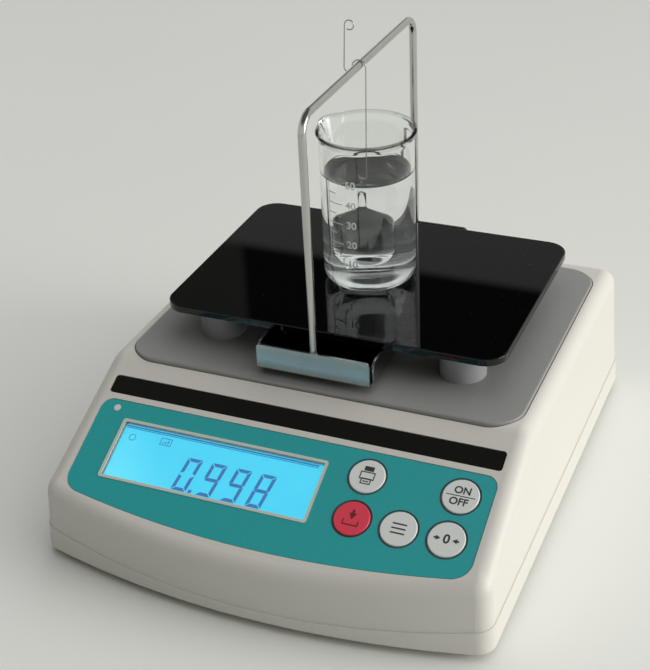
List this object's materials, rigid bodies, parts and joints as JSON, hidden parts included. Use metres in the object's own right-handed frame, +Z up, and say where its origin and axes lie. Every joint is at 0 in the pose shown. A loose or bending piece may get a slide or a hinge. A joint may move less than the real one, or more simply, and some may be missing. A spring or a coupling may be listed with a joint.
{
  "type": "benchtop density meter",
  "caption": "Benchtop liquid density meter: sloping keypad and display, platform on posts with a black plate and glass beaker, and a weighed rod frame hanging a glass sinker.",
  "frame": {"origin": "on the bench, under the middle of the case's outline", "axes": "+X to the right seen from the keypad, +Y from the keypad to the rear sockets, +Z up from the bench"},
  "size_m": [0.1898, 0.2162, 0.1933],
  "materials": {
    "case_plastic": "fine moulded texture",
    "platform_paint": "satin grey paint",
    "post_plastic": "smooth moulded",
    "pad_rubber": "soft",
    "plate_black": "polished black",
    "tray_steel": "brushed stainless",
    "rod_steel": "polished stainless",
    "wire_steel": "drawn stainless wire",
    "overlay_teal": "printed film",
    "strip_black": "printed strip",
    "border_light": "smooth",
    "window_clear": "clear sheet",
    "lcd_glass": "backlit display",
    "backlight": "diffuser",
    "key_white": "smooth",
    "key_red": "smooth",
    "lens_clear": "frosted light pipe",
    "led_body": "moulded",
    "board_green": "solder mask",
    "chip_black": "moulded",
    "shield_tin": "tinned",
    "plug_white": "moulded",
    "lead_grey": "jacket",
    "ribbon_grey": "flat lead",
    "cell_aluminium": "machined",
    "gauge_coat": "sealed",
    "brass": "turned",
    "screw_steel": "plated",
    "sole_rubber": "soft",
    "foot_plastic": "moulded",
    "socket_black": "moulded",
    "clear_glass": "clear borosilicate"
  },
  "bodies": {
    "case": {"beaker_plate": "plate_black", "board_parts": "chip_black", "buzzer": "chip_black", "dc_socket": "socket_black", "display_ribbon": "ribbon_grey", "display_window": "window_clear", "foot_inserts": "brass", "front_board": "board_green", "front_board_screws": "screw_steel", "hanger_frame": "rod_steel", "housing_screws": "screw_steel", "indicator_led": "led_body", "indicator_lens": "lens_clear", "jack_posts": "screw_steel", "key_switches": "chip_black", "keypad_overlay": "overlay_teal", "lcd_backlight": "backlight", "lcd_panel": "lcd_glass", "lead_plugs": "plug_white", "load_cell": "cell_aluminium", "load_cell_lead": "lead_grey", "load_cell_screws": "screw_steel", "load_cell_spacer": "cell_aluminium", "lower_housing": "case_plastic", "main_board": "board_green", "main_board_screws": "screw_steel", "name_strip": "strip_black", "overload_stop": "brass", "plate_posts": "post_plastic", "platform": "platform_paint", "post_pads": "pad_rubber", "post_screws": "screw_steel", "serial_port": "shield_tin", "signal_shield": "shield_tin", "spindle_arm": "cell_aluminium", "spindle_screw": "screw_steel", "strain_gauges": "gauge_coat", "tray_hub": "cell_aluminium", "tray_screws": "screw_steel", "upper_housing": "case_plastic", "weigh_spindle": "screw_steel", "weigh_tray": "tray_steel", "window_border": "border_light"},
    "print_key": {"print_key": "key_white"},
    "memory_key": {"memory_key": "key_red"},
    "function_key": {"function_key": "key_white"},
    "power_key": {"power_key": "key_white"},
    "zero_key": {"zero_key": "key_white"},
    "hanger": {"hanger_wire": "wire_steel"},
    "sinker": {"sinker": "clear_glass"},
    "beaker": {"beaker": "clear_glass"},
    "foot_front_left": {"foot_front_left": "foot_plastic", "foot_sole_front_left": "sole_rubber"},
    "foot_front_right": {"foot_front_right": "foot_plastic", "foot_sole_front_right": "sole_rubber"},
    "foot_rear_left": {"foot_rear_left": "foot_plastic", "foot_sole_rear_left": "sole_rubber"},
    "foot_rear_right": {"foot_rear_right": "foot_plastic", "foot_sole_rear_right": "sole_rubber"}
  },
  "joints": [
    {"name": "print_key_press", "type": "slide", "parent": "case", "child": "print_key", "axis": [0, 0.4226, -0.9063], "range_m": [0, 0.0005], "stiffness_N_per_m": 1500, "springref_m": -0.0002},
    {"name": "memory_key_press", "type": "slide", "parent": "case", "child": "memory_key", "axis": [0, 0.4226, -0.9063], "range_m": [0, 0.0005], "stiffness_N_per_m": 1500, "springref_m": -0.0002},
    {"name": "function_key_press", "type": "slide", "parent": "case", "child": "function_key", "axis": [0, 0.4226, -0.9063], "range_m": [0, 0.0005], "stiffness_N_per_m": 1500, "springref_m": -0.0002},
    {"name": "power_key_press", "type": "slide", "parent": "case", "child": "power_key", "axis": [0, 0.4226, -0.9063], "range_m": [0, 0.0005], "stiffness_N_per_m": 1500, "springref_m": -0.0002},
    {"name": "zero_key_press", "type": "slide", "parent": "case", "child": "zero_key", "axis": [0, 0.4226, -0.9063], "range_m": [0, 0.0005], "stiffness_N_per_m": 1500, "springref_m": -0.0002},
    {"name": "hanger_lift", "type": "slide", "parent": "case", "child": "hanger", "axis": [0.0244, 0, 0.9997], "range_m": [0, 0.04]},
    {"name": "sinker_swing", "type": "hinge", "parent": "hanger", "child": "sinker", "pos_m": [-0.00023, 0.028, 0.12551], "axis": [0, 1, 0], "range_deg": [-6, 6]},
    {"name": "beaker_lift", "type": "slide", "parent": "case", "child": "beaker", "axis": [0, 0, 1], "range_m": [0, 0.008]},
    {"name": "foot_front_left_turn", "type": "hinge", "parent": "case", "child": "foot_front_left", "pos_m": [-0.076, -0.08, 0.005], "axis": [0, 0, 1], "range_deg": [0, 1080]},
    {"name": "foot_front_right_turn", "type": "hinge", "parent": "case", "child": "foot_front_right", "pos_m": [0.076, -0.08, 0.005], "axis": [0, 0, 1], "range_deg": [0, 1080]},
    {"name": "foot_rear_left_turn", "type": "hinge", "parent": "case", "child": "foot_rear_left", "pos_m": [-0.076, 0.088, 0.005], "axis": [0, 0, 1], "range_deg": [0, 1080]},
    {"name": "foot_rear_right_turn", "type": "hinge", "parent": "case", "child": "foot_rear_right", "pos_m": [0.076, 0.088, 0.005], "axis": [0, 0, 1], "range_deg": [0, 1080]}
  ]
}
